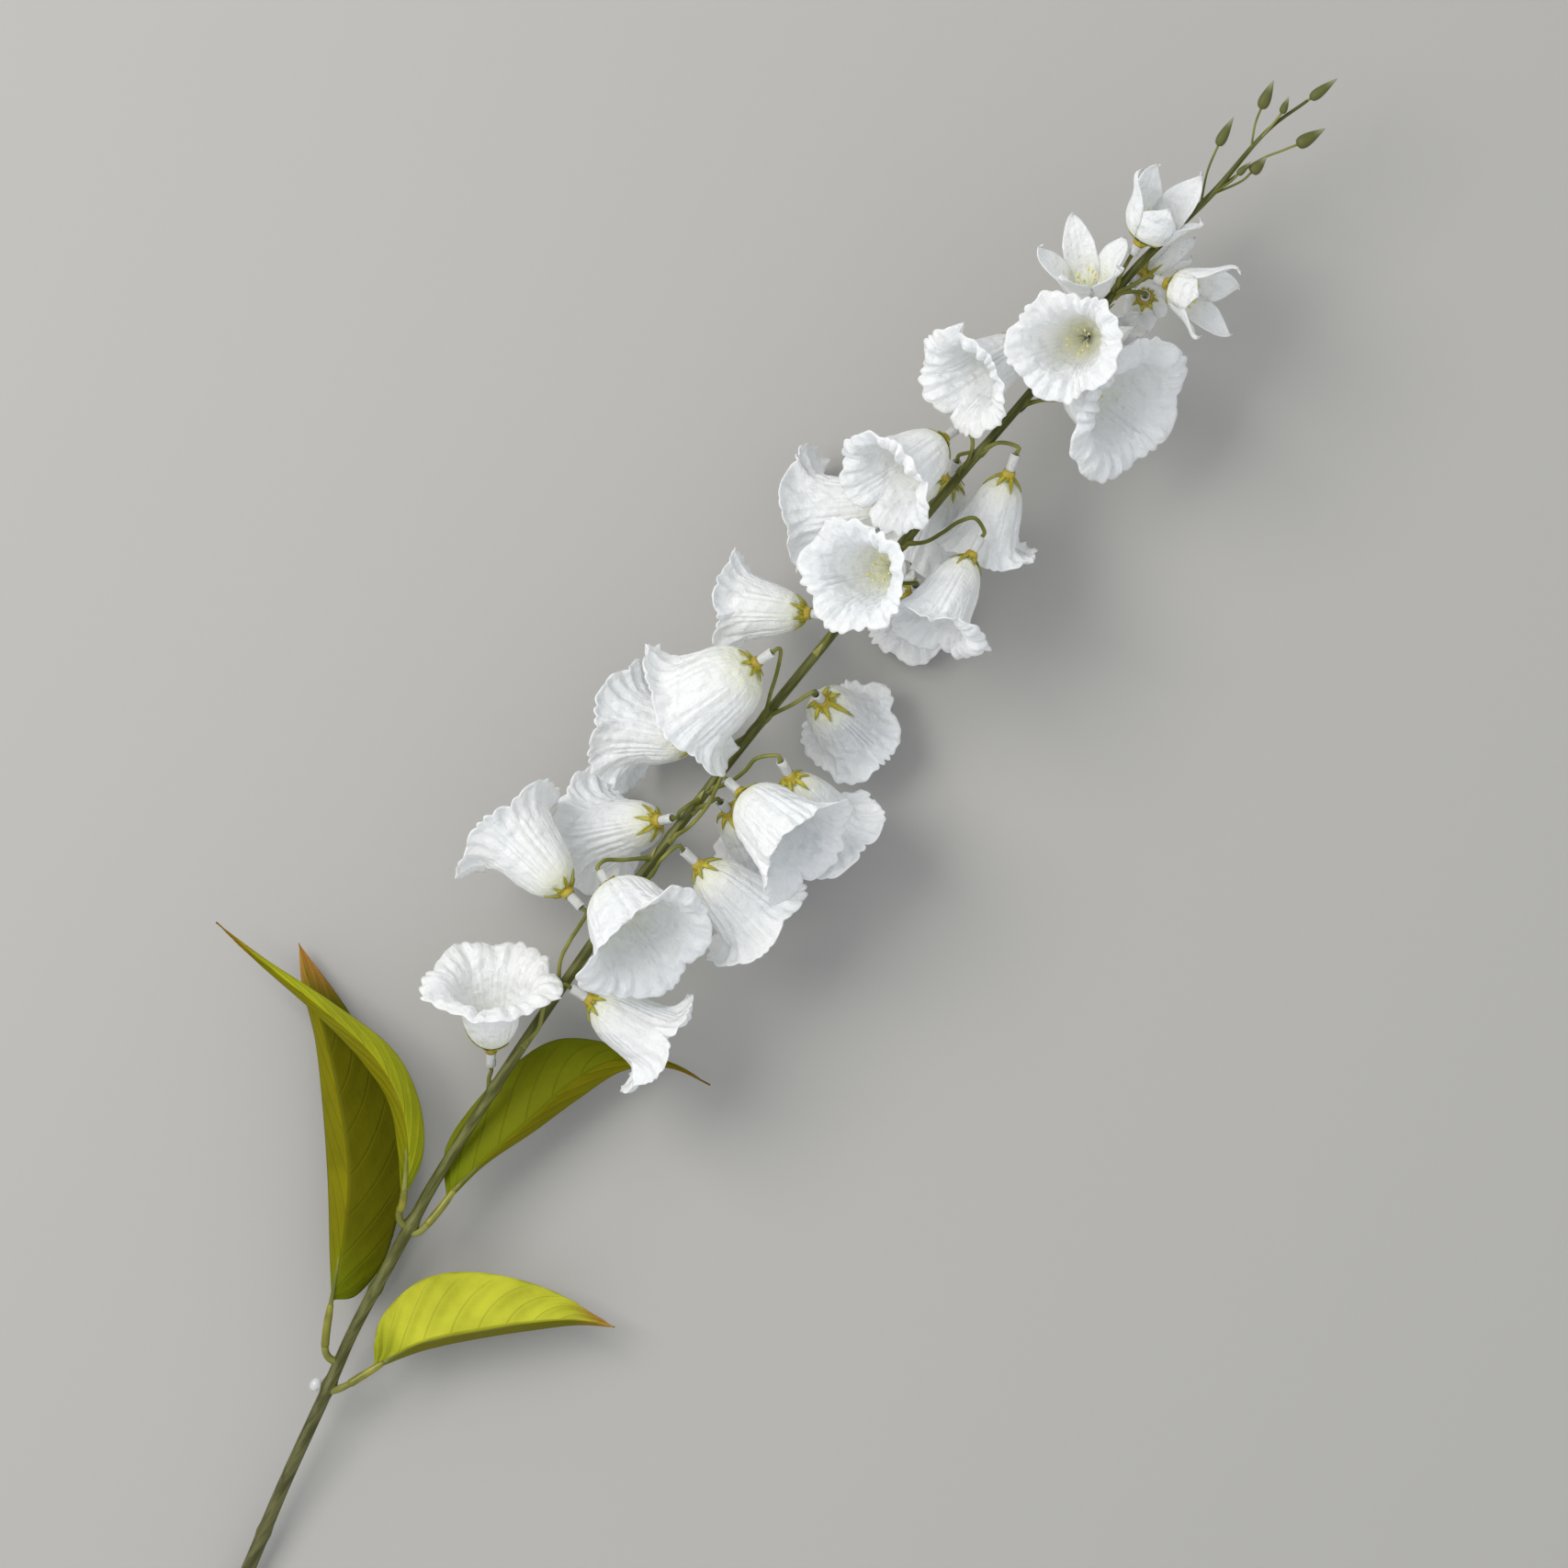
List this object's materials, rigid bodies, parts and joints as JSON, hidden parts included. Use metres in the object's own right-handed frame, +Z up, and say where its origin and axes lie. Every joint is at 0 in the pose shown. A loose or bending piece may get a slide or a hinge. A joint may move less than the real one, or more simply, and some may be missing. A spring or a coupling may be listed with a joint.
{
  "type": "artificial bellflower spray",
  "caption": "Made bellflower spray lying down: long olive stem with wire stalks, white fabric bells with frilled rims and star calyxes, small open flowers and buds at the tip, folded leaves.",
  "frame": {"origin": "middle of the bounding box, on the surface that the spray lies on", "axes": "+Z up from the surface, +Y along the spray from the cut end to the tip, +X to the right when seen from above with the tip away"},
  "size_m": [0.258, 0.8899, 0.1257],
  "materials": {
    "petals": "white coated fabric with pressed pleats",
    "calyxes": "moulded, mustard yellow to green",
    "stem": "moulded, dark olive, satin",
    "leaves": "printed coated fabric, olive to yellow green"
  },
  "bodies": {
    "root": {"stem": "stem", "leaf_low_left": "leaves", "leaf_high_left": "leaves", "leaf_high_right": "leaves", "leaf_low_right": "leaves", "bell_01": "petals", "bell_02": "petals", "bell_03": "petals", "bell_04": "petals", "bell_05": "petals", "bell_06": "petals", "bell_07": "petals", "bell_08": "petals", "bell_09": "petals", "bell_10": "petals", "bell_11": "petals", "bell_12": "petals", "bell_13": "petals", "bell_14": "petals", "bell_15": "petals", "bell_16": "petals", "bell_17": "petals", "bell_18": "petals", "bell_19": "petals", "bell_20": "petals", "bell_21": "petals", "bell_22": "petals", "bell_23": "petals", "star_1": "petals", "star_2": "petals", "star_3": "petals", "star_4": "petals", "star_5": "petals", "star_6": "petals", "calyx_01": "calyxes", "calyx_02": "calyxes", "calyx_03": "calyxes", "calyx_04": "calyxes", "calyx_05": "calyxes", "calyx_06": "calyxes", "calyx_07": "calyxes", "calyx_08": "calyxes", "calyx_09": "calyxes", "calyx_10": "calyxes", "calyx_11": "calyxes", "calyx_12": "calyxes", "calyx_13": "calyxes", "calyx_14": "calyxes", "calyx_15": "calyxes", "calyx_16": "calyxes", "calyx_17": "calyxes", "calyx_18": "calyxes", "calyx_19": "calyxes", "calyx_20": "calyxes", "calyx_21": "calyxes", "calyx_22": "calyxes", "calyx_23": "calyxes", "star_calyx_2": "calyxes", "star_calyx_3": "calyxes", "star_calyx_4": "calyxes"}
  },
  "joints": []
}
